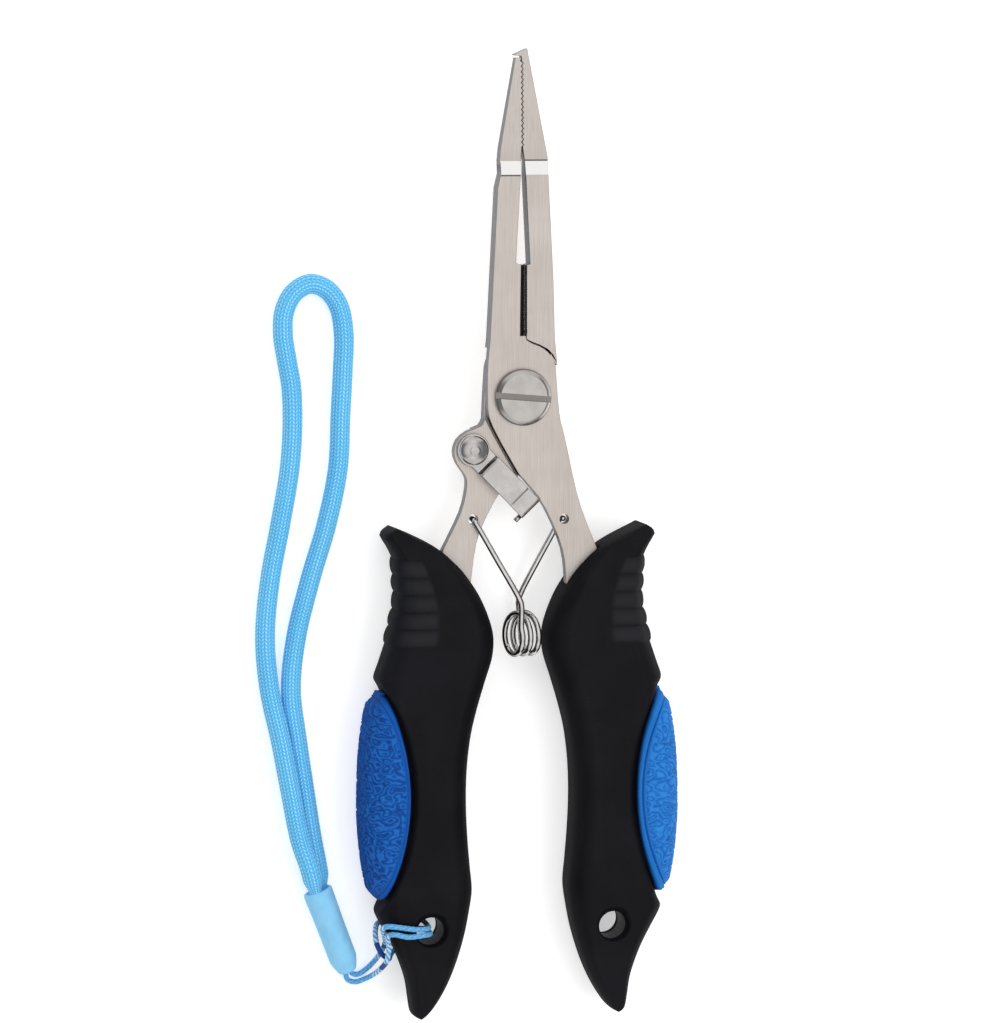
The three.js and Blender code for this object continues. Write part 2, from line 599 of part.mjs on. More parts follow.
function makeFerrule() {
  const top = new THREE.Vector3(-42.2, -102.4, 3.7);
  const end = new THREE.Vector3(-37.3, -119.2, ferruleRadius + 0.05);
  const axis = end.clone().sub(top).normalize();
  const r = ferruleRadius;
  const profile = [[0, 0], [r - 0.4, 0], [r, 0.4], [r, ferruleLength - 3],
  [r - 0.35, ferruleLength - 1], [r - 1, ferruleLength], [0, ferruleLength]];
  const points = profile.map(([radius, along]) => new THREE.Vector2(radius, along));
  const body = new THREE.LatheGeometry(points, 24);
  const turn = new THREE.Quaternion().setFromUnitVectors(new THREE.Vector3(0, 1, 0), axis);
  return solidOf(body.applyQuaternion(turn).translate(top.x, top.y, top.z));
}

// ---- assembly ----

const pliers = new THREE.Group();
pliers.add(meshOf('front_half', makeFrontHalf(), colours.steel));
pliers.add(meshOf('back_half', makeBackHalf(), colours.steel));
pliers.add(meshOf('pivot_screw', makeScrew(), colours.bright));
pliers.add(meshOf('pivot_nut', makeNut(), colours.bright));
pliers.add(meshOf('lock_lever', makeLever(), colours.steel));
pliers.add(meshOf('lock_rivet', makeRivet(), colours.bright));
pliers.add(meshOf('return_spring', makeSpring(), colours.bright));
for (const [name, side] of [['left', -1], ['right', 1]]) {
  pliers.add(meshOf(`${name}_grip_core`, makeCore(side), colours.core));
  pliers.add(meshOf(`${name}_grip_sleeve`, makeSleeve(side), colours.rubber));
  pliers.add(meshOf(`${name}_grip_pad`, makePad(side), colours.blue));
}
pliers.add(meshOf('wrist_strap', tube(curveThrough(strapRoute), strapDiameter, 72, 10), colours.cord));
pliers.add(meshOf('strap_ferrule', makeFerrule(), colours.ferrule));
pliers.add(meshOf('tether_cord', tube(curveThrough(tetherRoute), tetherDiameter, 66, 8), colours.cord));
pliers.position.set(-handleMiddle, (gripEnd - jawReach) / 2, 0);

export default pliers;
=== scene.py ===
import math

import bmesh
import bpy
import numpy as np
from mathutils import Matrix, Vector, noise


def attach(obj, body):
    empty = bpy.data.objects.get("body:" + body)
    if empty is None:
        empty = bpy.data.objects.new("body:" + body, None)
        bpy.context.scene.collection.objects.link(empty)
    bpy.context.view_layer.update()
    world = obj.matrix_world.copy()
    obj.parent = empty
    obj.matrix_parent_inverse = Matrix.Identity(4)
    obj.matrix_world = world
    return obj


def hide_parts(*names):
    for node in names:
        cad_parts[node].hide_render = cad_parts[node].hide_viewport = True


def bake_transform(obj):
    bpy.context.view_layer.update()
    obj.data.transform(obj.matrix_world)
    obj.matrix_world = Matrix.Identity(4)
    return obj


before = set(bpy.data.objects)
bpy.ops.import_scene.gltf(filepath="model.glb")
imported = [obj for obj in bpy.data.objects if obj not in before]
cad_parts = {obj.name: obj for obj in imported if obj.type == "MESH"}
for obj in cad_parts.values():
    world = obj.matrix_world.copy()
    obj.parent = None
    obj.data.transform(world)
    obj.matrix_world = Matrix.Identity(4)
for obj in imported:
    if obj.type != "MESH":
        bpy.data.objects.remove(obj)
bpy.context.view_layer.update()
mm = 0.001
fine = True

# Drawings are in millimetres about the pivot; the model's origin is under the middle of the pliers.
pivot = np.array([0.65, 28.7, 0.0])
handleMiddle = -0.65  # x of the line midway between the grips


def place(points):
    return (np.asarray(points, float) + pivot) * mm


class Wire:  # a value in a shader; sums on it add Math nodes
    def __init__(self, finish, socket):
        self.finish = finish
        self.socket = socket

    def sum(self, operation, *values):
        return self.finish.node("Math", {"operation": operation}, dict(enumerate(values)))

    def __add__(self, other):
        return self.sum("ADD", self, other)

    def __radd__(self, other):
        return self.sum("ADD", other, self)

    def __sub__(self, other):
        return self.sum("SUBTRACT", self, other)

    def __rsub__(self, other):
        return self.sum("SUBTRACT", other, self)

    def __mul__(self, other):
        return self.sum("MULTIPLY", self, other)

    def __rmul__(self, other):
        return self.sum("MULTIPLY", other, self)

    def __gt__(self, other):
        return self.sum("GREATER_THAN", self, other)

    def __lt__(self, other):
        return self.sum("LESS_THAN", self, other)

    def __abs__(self):
        return self.sum("ABSOLUTE", self)


normalSpace, objectSpace = 1, 3  # outputs of the Texture Coordinate node


class Finish:  # the nodes of one material, or of the world
    def __init__(self, owner):
        self.owner = owner
        owner.use_nodes = True
        self.tree = owner.node_tree
        self.tree.nodes.clear()

    def node(self, kind, settings=None, sockets=None, out=0):
        made = self.tree.nodes.new("ShaderNode" + kind)
        for key, value in (settings or {}).items():
            setattr(made, key, value)
        for key, value in (sockets or {}).items():
            if isinstance(value, Wire):
                self.tree.links.new(value.socket, made.inputs[key])
            else:
                made.inputs[key].default_value = value
        return Wire(self, made.outputs[out] if made.outputs else None)

    def mix(self, share, first, second):
        return self.node("Mix", {"data_type": "RGBA"}, {0: share, 6: first, 7: second}, out=2)

    def ramp(self, value, low, high, bottom=0.0, top=1.0):
        sockets = {"Value": value, "From Min": low, "From Max": high, "To Min": bottom, "To Max": top}
        return self.node("MapRange", {"interpolation_type": "SMOOTHSTEP"}, sockets)

    def where(self, scale=(1, 1, 1), turn=(0, 0, 0)):
        coordinates = self.node("TexCoord", out=objectSpace)
        return self.node("Mapping", {}, {"Vector": coordinates, "Scale": scale, "Rotation": turn})

    def grain(self, vector, scale=1.0, detail=3.0, rough=0.6):
        sockets = {"Vector": vector, "Scale": scale, "Detail": detail, "Roughness": rough}
        return self.node("TexNoise", {}, sockets)

    def part(self, number, space=objectSpace):  # x, y or z of the place, or of the surface's direction
        return self.node("SeparateXYZ", {}, {0: self.node("TexCoord", out=space)}, out=number)

    def upright(self):  # 1 on a level face, 0 on a wall
        return abs(self.part(2, normalSpace))

    def bump(self, height, strength, distance):
        return self.node("Bump", {}, {"Height": height, "Strength": strength, "Distance": distance})

    def surface(self, **sockets):
        names = {key: key.replace("_", " ") for key in sockets}
        shader = self.node("BsdfPrincipled", {}, {names[key]: value for key, value in sockets.items()})
        self.node("OutputMaterial", {}, {"Surface": shader})
        return self.owner


def newFinish(name):
    return Finish(bpy.data.materials.new(name))


def srgb(*levels):  # 0 to 255
    shares = [v / 255 for v in levels]
    return tuple(v / 12.92 if v < 0.0404 else ((v + 0.055) / 1.055) ** 2.4 for v in shares) + (1.0,)


steelLook = {
    "face": srgb(226, 217, 211),
    "shade": srgb(205, 195, 188),
    # painted shade: the dark colour given to steep walls
    "wall": srgb(96, 96, 99),
    # painted highlight: the near-white band where each face steps down towards the nose
    "highlightBand": srgb(250, 249, 248),
    # painted shade: dark lines along the edges of the step
    "line": srgb(86, 82, 80),
    "lineWidth": 0.32 * mm,
    "bandLow": 74.5 * mm, "bandHigh": 77.3 * mm, "jawMiddle": 0.2 * mm,
}


def makeSteel(name, withHighlightBand):
    made = newFinish(name)
    streaks = made.grain(made.where((5200, 110, 5200)), 1.0, 4.0, 0.7)
    clouds = made.grain(made.where(), 140.0, 2.0, 0.5)
    scratches = made.grain(made.where((900, 3000, 900), (0, 0, 0.25)), 1.0, 2.0, 0.5)
    tone = made.ramp(streaks * 0.75 + clouds * 0.25, 0.32, 0.68)
    face = made.mix(tone, steelLook["shade"], steelLook["face"])
    upright = made.upright()
    level = made.ramp(upright, 0.25, 0.8)
    # steep walls take the dark wall colour: painted shade
    colour = made.mix(level, steelLook["wall"], face)
    rough = made.ramp(streaks, 0.25, 0.75, 0.3, 0.44) + scratches * 0.05
    height = streaks * level
    if withHighlightBand:
        sideways, along = made.part(0), made.part(1)
        low, high, line = (steelLook[key] for key in ("bandLow", "bandHigh", "lineWidth"))
        # painted highlight across the step, which is also given lower roughness and no bump
        highlightBand = (along > low) * (along < high) * (upright > 0.6)
        # painted shade on the slope just above the bright band, fading out over 4 mm
        slopeShade = made.ramp(along, high, high + 4 * mm, 0.4, 0.0) * (along > high) * level
        # painted shade: a dark line on one edge of the band, above it on the right jaw and below it on the
        # left
        rightShadeLine = (along > high) * (along < high + line) * (sideways > steelLook["jawMiddle"])
        leftShadeLine = (along > low - line) * (along < low) * (sideways < steelLook["jawMiddle"])
        colour = made.mix(slopeShade, colour, steelLook["shade"])
        colour = made.mix(highlightBand, colour, steelLook["highlightBand"])
        colour = made.mix((rightShadeLine + leftShadeLine) * level * 0.85, colour, steelLook["line"])
        rough = rough - highlightBand * 0.22
        height = height - height * highlightBand
    return made.surface(
        Base_Color=colour, Metallic=1.0, Roughness=rough, Normal=made.bump(height, 0.25, 0.00006))


chromeLook = {  # dull colour, bright colour, scale of the wear, roughness
    "wire": (srgb(214, 210, 208), srgb(230, 227, 225), (700, 700, 700), 0.07),
    "screw": (srgb(192, 188, 184), srgb(206, 202, 198), (260, 260, 260), 0.2),
    "lever": (srgb(198, 194, 192), srgb(216, 212, 210), (300, 300, 300), 0.17),
    "rivet": (srgb(196, 192, 190), srgb(212, 208, 206), (500, 500, 500), 0.16),
}
# painted shade: the dark colour of steep walls on the bright metal parts
chromeWallShade = srgb(78, 75, 74)
# painted shade on the floor of the screw's slot
slotShade = {"colour": srgb(124, 118, 114), "low": 11.0 * mm, "high": 11.45 * mm}
spindle = tuple(float(v) for v in pivot * mm)


def makeBright(name, look):
    made = newFinish(name)
    dull, tint, scale, rough = chromeLook[look]
    marks = made.grain(made.where(scale), 1.0, 3.0, 0.55)
    scratches = made.grain(made.where(), 5200.0, 2.0, 0.5)
    if look == "screw":  # rings left by turning
        here = made.node("TexCoord", out=objectSpace)
        offset = made.node("VectorMath", {"operation": "SUBTRACT"}, {0: here, 1: spindle})
        flat = made.node("VectorMath", {"operation": "MULTIPLY"}, {0: offset, 1: (1, 1, 0)})
        radius = made.node("VectorMath", {"operation": "LENGTH"}, {0: flat}, out=1)
        turning = {"W": radius, "Scale": 5200.0, "Detail": 2.0}
        rings = made.node("TexNoise", {"noise_dimensions": "1D"}, turning)
        scratches = scratches * 0.3 + rings
    wear = made.ramp(marks, 0.3, 0.7)
    upright = made.upright()
    # steep walls take the dark colour: painted shade
    colour = made.mix(made.ramp(upright, 0.2, 0.66), chromeWallShade, made.mix(wear, dull, tint))
    if look == "screw":
        height = made.part(2)
        # painted shade: the slot's floor is darkened
        shadedSlotFloor = (height > slotShade["low"]) * (height < slotShade["high"])
        colour = made.mix(shadedSlotFloor * 0.8, colour, slotShade["colour"])
    return made.surface(
        Base_Color=colour, Metallic=1.0, Roughness=made.ramp(wear, 0.0, 1.0, rough + 0.05, rough),
        Normal=made.bump(scratches, 0.08, 0.00004))


rubberLook = {"black": srgb(12, 11, 15), "dusty": srgb(20, 19, 24), "speck": srgb(60, 58, 63)}


def makeRubber(name):
    made = newFinish(name)
    pores = made.grain(made.where(), 5200.0, 2.0, 0.5)
    patches = made.grain(made.where(), 60.0, 3.0, 0.6)
    specks = made.ramp(made.grain(made.where(), 2100.0, 1.0, 0.4), 0.7, 0.78)
    colour = made.mix(made.ramp(patches, 0.35, 0.7), rubberLook["black"], rubberLook["dusty"])
    colour = made.mix(specks * 0.1, colour, rubberLook["speck"])
    # painted highlight: the rib bars on the grip's top face are lightened
    barHighlight = made.node("Attribute", {"attribute_name": "barHighlight"}, out=2)
    colour = made.mix(barHighlight * 0.26, colour, rubberLook["speck"])
    upright = made.upright()
    wall = made.ramp(upright, 0.3, 0.8, 0.28, 0.0)
    return made.surface(
        Base_Color=colour, Roughness=made.ramp(patches, 0.3, 0.7, 0.5, 0.6) + wall,
        Specular_IOR_Level=0.12, Normal=made.bump(pores, 0.18, 0.00008))


# hollow colour (painted shade), top colour, crest colour (painted highlight)
padLook = {
    "left": (srgb(10, 56, 122), srgb(18, 82, 164), srgb(34, 104, 186)),
    "right": (srgb(22, 88, 164), srgb(34, 114, 196), srgb(48, 130, 208)),
}
padWallShade = 0.45


def makePadBlue(name, look):
    made = newFinish(name)
    relief = made.node("Attribute", {"attribute_name": "relief"}, out=2)
    hollowShade, top, crestHighlight = padLook[look]
    # darker in the grain's hollows and lighter on its crests: painted shade and painted highlight
    colour = made.mix(made.ramp(relief, 0.0, 0.45), hollowShade, top)
    colour = made.mix(made.ramp(relief, 0.55, 1.0, 0.0, 0.85), colour, crestHighlight)
    pores = made.grain(made.where(), 4300.0, 2.0, 0.5)
    upright = made.upright()
    wall = made.ramp(upright, 0.1, 0.7, 1.0, 0.0)
    colour = made.mix(wall * padWallShade, colour, hollowShade)
    return made.surface(
        Base_Color=colour, Roughness=made.ramp(pores, 0.3, 0.7, 0.5, 0.66) + wall * 0.3,
        Specular_IOR_Level=0.12,
        Normal=made.bump(pores, 0.2, 0.00008))


def makeBraid(name, low, middle, high, fleckAndGlintColour):
    made = newFinish(name)
    relief = made.node("Attribute", {"attribute_name": "relief"}, out=2)
    fleckAndGlint = made.node("Attribute", {"attribute_name": "fleckAndGlint"}, out=2)
    # darker in the braid's hollows and lighter on its crests: painted shade and painted highlight
    colour = made.mix(made.ramp(relief, 0.1, 0.6), low, middle)
    colour = made.mix(made.ramp(relief, 0.7, 1.0), colour, high)
    # white yarn flecks on the tether; on the strap, painted highlight glints
    colour = made.mix(fleckAndGlint, colour, fleckAndGlintColour)
    hairs = made.grain(made.where(), 6500.0, 3.0, 0.6)
    return made.surface(
        Base_Color=colour, Roughness=made.ramp(hairs, 0.3, 0.7, 0.6, 0.85), Sheen_Weight=0.12,
        Sheen_Roughness=0.5, Specular_IOR_Level=0.3, Normal=made.bump(hairs, 0.35, 0.0001))


def makeSleeveBlue(name):
    made = newFinish(name)
    mottle = made.grain(made.where(), 420.0, 3.0, 0.55)
    pores = made.grain(made.where(), 6000.0, 2.0, 0.5)
    colour = made.mix(made.ramp(mottle, 0.3, 0.7), srgb(132, 198, 236), srgb(142, 206, 242))
    return made.surface(
        Base_Color=colour, Roughness=made.ramp(mottle, 0.3, 0.7, 0.5, 0.66), Specular_IOR_Level=0.3,
        Subsurface_Weight=0.1, Subsurface_Scale=0.001, Normal=made.bump(pores, 0.25, 0.0001))


def makeCore(name):
    made = newFinish(name)
    mottle = made.grain(made.where(), 900.0, 2.0, 0.5)
    colour = made.mix(mottle, srgb(48, 49, 53), srgb(66, 67, 71))
    return made.surface(Base_Color=colour, Roughness=0.6, Normal=made.bump(mottle, 0.2, 0.0001))


def makeFloor(name):
    made = newFinish(name)
    mottle = made.grain(made.where(), 30.0, 3.0, 0.5)
    colour = made.mix(mottle, srgb(224, 224, 224), srgb(229, 229, 229))
    return made.surface(
        Base_Color=colour, Roughness=0.9, Specular_IOR_Level=0.0,
        Emission_Color=colour, Emission_Strength=0.62)


steel = makeSteel("brushed_steel", withHighlightBand=True)
leverSteel = makeBright("lever_steel", "lever")
screwSteel = makeBright("screw_steel", "screw")
chrome = makeBright("chrome_wire", "wire")
rivetSteel = makeBright("rivet_steel", "rivet")
rubber = makeRubber("black_rubber")
padBlue = {side: makePadBlue(f"{side}_grained_rubber", side) for side in ("left", "right")}
# hollow colour (painted shade), middle colour, crest colour (painted highlight), then the fleck and glint
# colour
strapBraid = makeBraid(
    "strap_braid", srgb(24, 104, 176), srgb(88, 184, 236), srgb(134, 214, 250), srgb(214, 242, 255))
tetherBraid = makeBraid(
    "tether_braid", srgb(18, 66, 138), srgb(74, 160, 220), srgb(112, 194, 238), srgb(236, 243, 249))
sleeveBlue = makeSleeveBlue("ferrule_rubber")
corePlastic = makeCore("core_plastic")
print("materials made")


camera = {
    "eye": (-0.2342, 0.1052, 1.0814),
    "target": (-0.00405, 0.0051, 0.0103),
    "right": (0.9777, 0.0, 0.2101),
    "lens": 187.5,
}


def setCamera():
    data = bpy.data.cameras.new("camera")
    data.lens = camera["lens"]
    data.sensor_width = 36
    data.clip_start = 0.05
    data.clip_end = 20
    seen = bpy.data.objects.new("camera", data)
    bpy.context.scene.collection.objects.link(seen)
    eye = Vector(camera["eye"])
    back = (eye - Vector(camera["target"])).normalized()
    up = back.cross(Vector(camera["right"])).normalized()
    right = up.cross(back)
    turn = Matrix((right, up, back)).transposed().to_4x4()
    seen.matrix_world = Matrix.Translation(eye) @ turn
    bpy.context.scene.camera = seen


studio = {
    "horizon": 0.26, "zenith": 1.15, "zenithFrom": 0.55, "zenithTo": 0.88, "panel": 0.75,
    "lamps": [  # place, target, width, height, watts
        ((0.5, -0.1, 0.75), (0, 0, 0), 0.7, 0.8, 3.2),
        ((-0.4, 0.6, 0.8), (0, 0, 0), 0.7, 0.5, 2.4),
    ],
}


def makeSky():  # bright overhead, darker low down, with a soft panel beyond each end of the pliers
    sky = Finish(bpy.data.worlds.new("studio"))
    direction = sky.node("TexCoord")
    ahead = abs(sky.node("SeparateXYZ", {}, {0: direction}, out=1))
    up = sky.node("SeparateXYZ", {}, {0: direction}, out=2)
    light = sky.ramp(up, studio["zenithFrom"], studio["zenithTo"], studio["horizon"], studio["zenith"])
    panel = sky.ramp(ahead, 0.5, 0.75) * sky.ramp(up, 0.02, 0.15)
    back = sky.node("Background", {}, {"Strength": light + panel * studio["panel"]})
    sky.node("OutputWorld", {}, {"Surface": back})
    return sky.owner


def setLights():
    bpy.context.scene.world = makeSky()
    for number, (at, target, width, height, watts) in enumerate(studio["lamps"]):
        data = bpy.data.lights.new(f"lamp{number}", "AREA")
        data.shape = "RECTANGLE"
        data.size = width
        data.size_y = height
        data.energy = watts
        lamp = bpy.data.objects.new(f"lamp{number}", data)
        bpy.context.scene.collection.objects.link(lamp)
        lamp.location = at
        lamp.rotation_euler = (Vector(target) - Vector(at)).to_track_quat("-Z", "Y").to_euler()
        lamp.visible_glossy = False
    bpy.context.scene.view_settings.view_transform = "Standard"


setCamera()
setLights()
print("camera and light set")


def addMesh(name, points, faces, material, attributes=None):
    mesh = bpy.data.meshes.new(name)
    mesh.from_pydata([tuple(p) for p in points], [], [tuple(f) for f in faces])
    mesh.update()
    for key, values in (attributes or {}).items():
        layer = mesh.attributes.new(key, "FLOAT", "POINT")
        layer.data.foreach_set("value", np.asarray(values, np.float32))
    mesh.shade_smooth()
    piece = bpy.data.objects.new(name, mesh)
    bpy.context.scene.collection.objects.link(piece)
    mesh.materials.append(material)
    return piece


def gridFaces(rows, columns, closed=True):  # quads between rows of points
    span = columns if closed else columns - 1
    row, column = np.meshgrid(np.arange(rows - 1), np.arange(span), indexing="ij")
    here = row * columns + column
    side = row * columns + (column + 1) % columns
    return np.stack([here, side, side + columns, here + columns], -1).reshape(-1, 4).tolist()


def closedFaces(rows, sides):  # a tube's quads with a cap at each end
    caps = [list(range(sides))[::-1], list(range((rows - 1) * sides, rows * sides))]
    return gridFaces(rows, sides) + caps


def catmullRom(points, count):  # evenly spaced points on a smooth curve through the given ones
    points = np.asarray(points, float)
    ahead = np.vstack([2 * points[0] - points[1], points, 2 * points[-1] - points[-2]])
    t = np.linspace(0, 1, 24, endpoint=False)[:, None]
    runs = []
    for a, b, c, d in zip(ahead, ahead[1:], ahead[2:], ahead[3:]):
        gaps = [max(np.linalg.norm(q - p) ** 0.5, 1e-6) for p, q in ((a, b), (b, c), (c, d))]
        start = ((b - a) / gaps[0] - (c - a) / (gaps[0] + gaps[1]) + (c - b) / gaps[1]) * gaps[1]
        end = ((c - b) / gaps[1] - (d - b) / (gaps[1] + gaps[2]) + (d - c) / gaps[2]) * gaps[1]
        runs.append((2 * t ** 3 - 3 * t ** 2 + 1) * b + (t ** 3 - 2 * t ** 2 + t) * start
                    + (3 * t ** 2 - 2 * t ** 3) * c + (t ** 3 - t ** 2) * end)
    dense = np.vstack(runs + [points[-1:]])
    return resample(dense, count)


def resample(points, count):
    lengths = np.concatenate([[0], np.cumsum(np.linalg.norm(np.diff(points, axis=0), axis=1))])
    wanted = np.linspace(0, lengths[-1], count)
    return np.stack([np.interp(wanted, lengths, points[:, i]) for i in range(points.shape[1])], -1)


def carriedFrames(path):  # two directions across a path, carried along it with no twist
    tangents = np.gradient(path, axis=0)
    tangents /= np.linalg.norm(tangents, axis=1)[:, None]
    first = np.cross(tangents[0], [0.3, 0.2, 1.0])
    first /= np.linalg.norm(first)
    firsts = [first]
    for tangent in tangents[1:]:
        first = first - tangent * np.dot(first, tangent)
        first = first / np.linalg.norm(first)
        firsts.append(first)
    firsts = np.array(firsts)
    return firsts, np.cross(tangents, firsts)


def tube(name, path, radius, material, attributes=None):  # radius is a (rows, sides) array, in mm
    rows, sides = radius.shape
    firsts, seconds = carriedFrames(path)
    turn = np.linspace(0, 2 * np.pi, sides, endpoint=False)
    across = (np.cos(turn)[None, :, None] * firsts[:, None, :]
              + np.sin(turn)[None, :, None] * seconds[:, None, :])
    points = (path[:, None, :] + radius[:, :, None] * across).reshape(-1, 3)
    return addMesh(name, place(points), closedFaces(rows, sides), material, attributes)


def lathe(name, profile, sides, frameOf, material):  # (radius, along) points turned about an axis
    turn = np.linspace(0, 2 * np.pi, sides, endpoint=False)
    ring = np.stack([np.cos(turn), np.sin(turn)], -1)
    points = [frameOf(radius * c, radius * s, along) for radius, along in profile for c, s in ring]
    return addMesh(name, place(points), closedFaces(len(profile), sides), material)


def crisp(work, sharpest):  # level faces flat, the rest smooth up to an angle in degrees
    for face in work.faces:
        face.smooth = abs(face.normal.z) < 0.999
    for edge in work.edges:
        edge.smooth = len(edge.link_faces) == 2 and edge.calc_face_angle(0) < math.radians(sharpest)


def bevelled(node, name, material, width, shortest, sharpest=32):
    # a finer copy of a CAD solid: flat facets joined, its edges broken, curved walls shaded smooth
    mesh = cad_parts[node].data.copy()
    mesh.name = name
    work = bmesh.new()
    work.from_mesh(mesh)
    bmesh.ops.remove_doubles(work, verts=work.verts, dist=2e-6)
    bmesh.ops.dissolve_limit(
        work, angle_limit=math.radians(0.6), verts=work.verts, edges=work.edges, delimit=set())
    limit = math.radians(sharpest)
    chosen = [
        e for e in work.edges
        if len(e.link_faces) == 2 and e.calc_face_angle(0) > limit and e.calc_length() > shortest * mm]
    bmesh.ops.bevel(
        work, geom=chosen, offset=width * mm, offset_type="OFFSET", segments=2, profile=0.6,
        affect="EDGES", clamp_overlap=False)
    crisp(work, 40)
    bmesh.ops.triangulate(work, faces=[f for f in work.faces if len(f.verts) > 4])
    work.to_mesh(mesh)
    work.free()
    mesh.materials.clear()
    mesh.materials.append(material)
    piece = bpy.data.objects.new(name, mesh)
    bpy.context.scene.collection.objects.link(piece)
    weighted = piece.modifiers.new("weighted", "WEIGHTED_NORMAL")
    weighted.keep_sharp = True
    return piece


def turnOut(piece):  # make every face look outwards
    work = bmesh.new()
    work.from_mesh(piece.data)
    bmesh.ops.recalc_face_normals(work, faces=work.faces)
    work.to_mesh(piece.data)
    work.free()


def settle(piece, body, slot, *nodes):
    if nodes:
        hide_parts(*nodes)
    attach(piece, body)
    return piece


def smoothStep(values, low, high):
    t = np.clip((values - low) / (high - low), 0, 1)
    return t * t * (3 - 2 * t)


strap = {
    "diameter": 4.2, "columns": 18, "stitch": 0.77, "relief": 0.26, "length": 0.2599, "pinch": 0.34,
    "ends": ((-41.9, -105.6, 4.2), (-40.9, -105.4, 2.7)), "mouth": (-42.9, -101.9, 4.9),
}
strapRoute = [
    (-43, -101.9, 6), (-44.3, -97, 6.2), (-46, -91.8, 5.6), (-48, -81.2, 4.9), (-49.9, -70.8, 4.5),
    (-51.9, -60.4, 2.9), (-52.7, -49.6, 2.2), (-51.6, -37.6, 2.2), (-49.4, -26.1, 2.2), (-47.4, -14.5, 2.2),
    (-46.8, -5.8, 2.2), (-47, 2.1, 2.2), (-47.9, 7.6, 2.2), (-48.7, 13, 2.2), (-48.4, 17.8, 2.2),
    (-46.4, 21.6, 2.2), (-43, 23.4, 2.2), (-39.5, 22.2, 2.2), (-37, 18.7, 2.2), (-36, 13, 2.2),
    (-36.2, 6, 2.2), (-36.7, -3.3, 2.2), (-37.3, -14.7, 2.2), (-39.7, -26.2, 2.2), (-43.2, -37.8, 2.2),
    (-46.2, -49.8, 2.2), (-47.3, -60.5, 2.2), (-46.1, -70.9, 2.2), (-44.6, -81.3, 2.2), (-43, -91.8, 2.2),
    (-42, -97, 2.15), (-41.3, -101.4, 2.15),
]


def braidRelief(rows, sides, length, columns, stitch):
    # height of a herringbone braid: columns of short slanted stitches that lean opposite ways in turn
    along = np.linspace(0, length, rows)[:, None]
    around = np.linspace(0, columns, sides, endpoint=False)[None, :]
    lean = np.where(np.floor(around) % 2 < 1, 1, -1)
    across = around % 1 - 0.5
    slant = (along / stitch + lean * across * 0.9) % 1 - 0.5
    return np.sqrt(np.clip(1 - (1.85 * slant) ** 2, 0, 1)) * (1 - 1.9 * across ** 2)


def makeStrap():
    first, last = strap["ends"]
    rows = 1750 if fine else 700
    sides = 90 if fine else 54
    path = catmullRom([first, strap["mouth"]] + strapRoute[1:] + [last], rows)
    length = np.linalg.norm(np.diff(path, axis=0), axis=1).sum()
    rise = braidRelief(rows, sides, length, strap["columns"], strap["stitch"])
    ends = np.linspace(0, length, rows)
    pinch = 1 - strap["pinch"] * (1 - smoothStep(np.minimum(ends, length - ends), 3, 6.5))
    radius = (strap["diameter"] / 2 - strap["relief"] + strap["relief"] * rise) * pinch[:, None]
    around = np.linspace(0, strap["columns"], sides, endpoint=False)[None, :]
    # painted highlight: near-white glints on the braid's top crests
    bright = 0.5 + 0.5 * np.sin(around * 2.1 + 0.6 * np.sin(ends[:, None] * 0.13))
    piece = tube("wrist_strap_braid", path, radius, strapBraid,
                 {"relief": rise.ravel(), "fleckAndGlint": (0.45 * bright * (rise > 0.86)).ravel()})
    return piece, path


strapPiece, strapPath = makeStrap()
print("strap made")


ferrule = {"top": (-42.2, -102.4, 3.7), "end": (-35.7, -119.6, 3.05), "radius": 2.9, "length": 18.6}


def makeFerrule():
    top = np.array(ferrule["top"])
    axis = np.array(ferrule["end"]) - top
    axis /= np.linalg.norm(axis)
    side = np.cross(axis, [0, 0, 1.0])
    side /= np.linalg.norm(side)
    up = np.cross(side, axis)
    r, whole = ferrule["radius"], ferrule["length"]

    def at(x, y, along):
        flat = 1 + 0.07 * (1 - smoothStep(along, 0, 9))
        return top + axis * along + side * x * flat + up * y / flat

    profile = [(0.01, 0.5), (r - 1.1, 0.5), (r - 0.75, 0.25), (r - 0.6, 0.02), (r - 0.3, 0.0),
               (r - 0.08, 0.12), (r, 0.4)]
    straight = whole - 3.1
    profile += [(r + 0.03 * math.sin(3.1 * i / 20), 0.4 + (straight - 0.4) * i / 20) for i in range(1, 21)]
    profile += [(r - 0.04, straight + 0.25), (r - 0.3, straight + 1.1), (r - 0.85, whole - 0.5),
                (r - 1.05, whole - 0.15), (r - 1.3, whole - 0.02), (r - 1.6, whole), (r - 1.8, whole - 0.2),
                (0.01, whole - 0.25)]
    return lathe("strap_ferrule_sleeve", profile, 64, at, sleeveBlue)


ferrulePiece = makeFerrule()
settle(ferrulePiece, "back_body", "ferrule", "strap_ferrule")
settle(strapPiece, "back_body", "cord", "wrist_strap")
print("ferrule made")


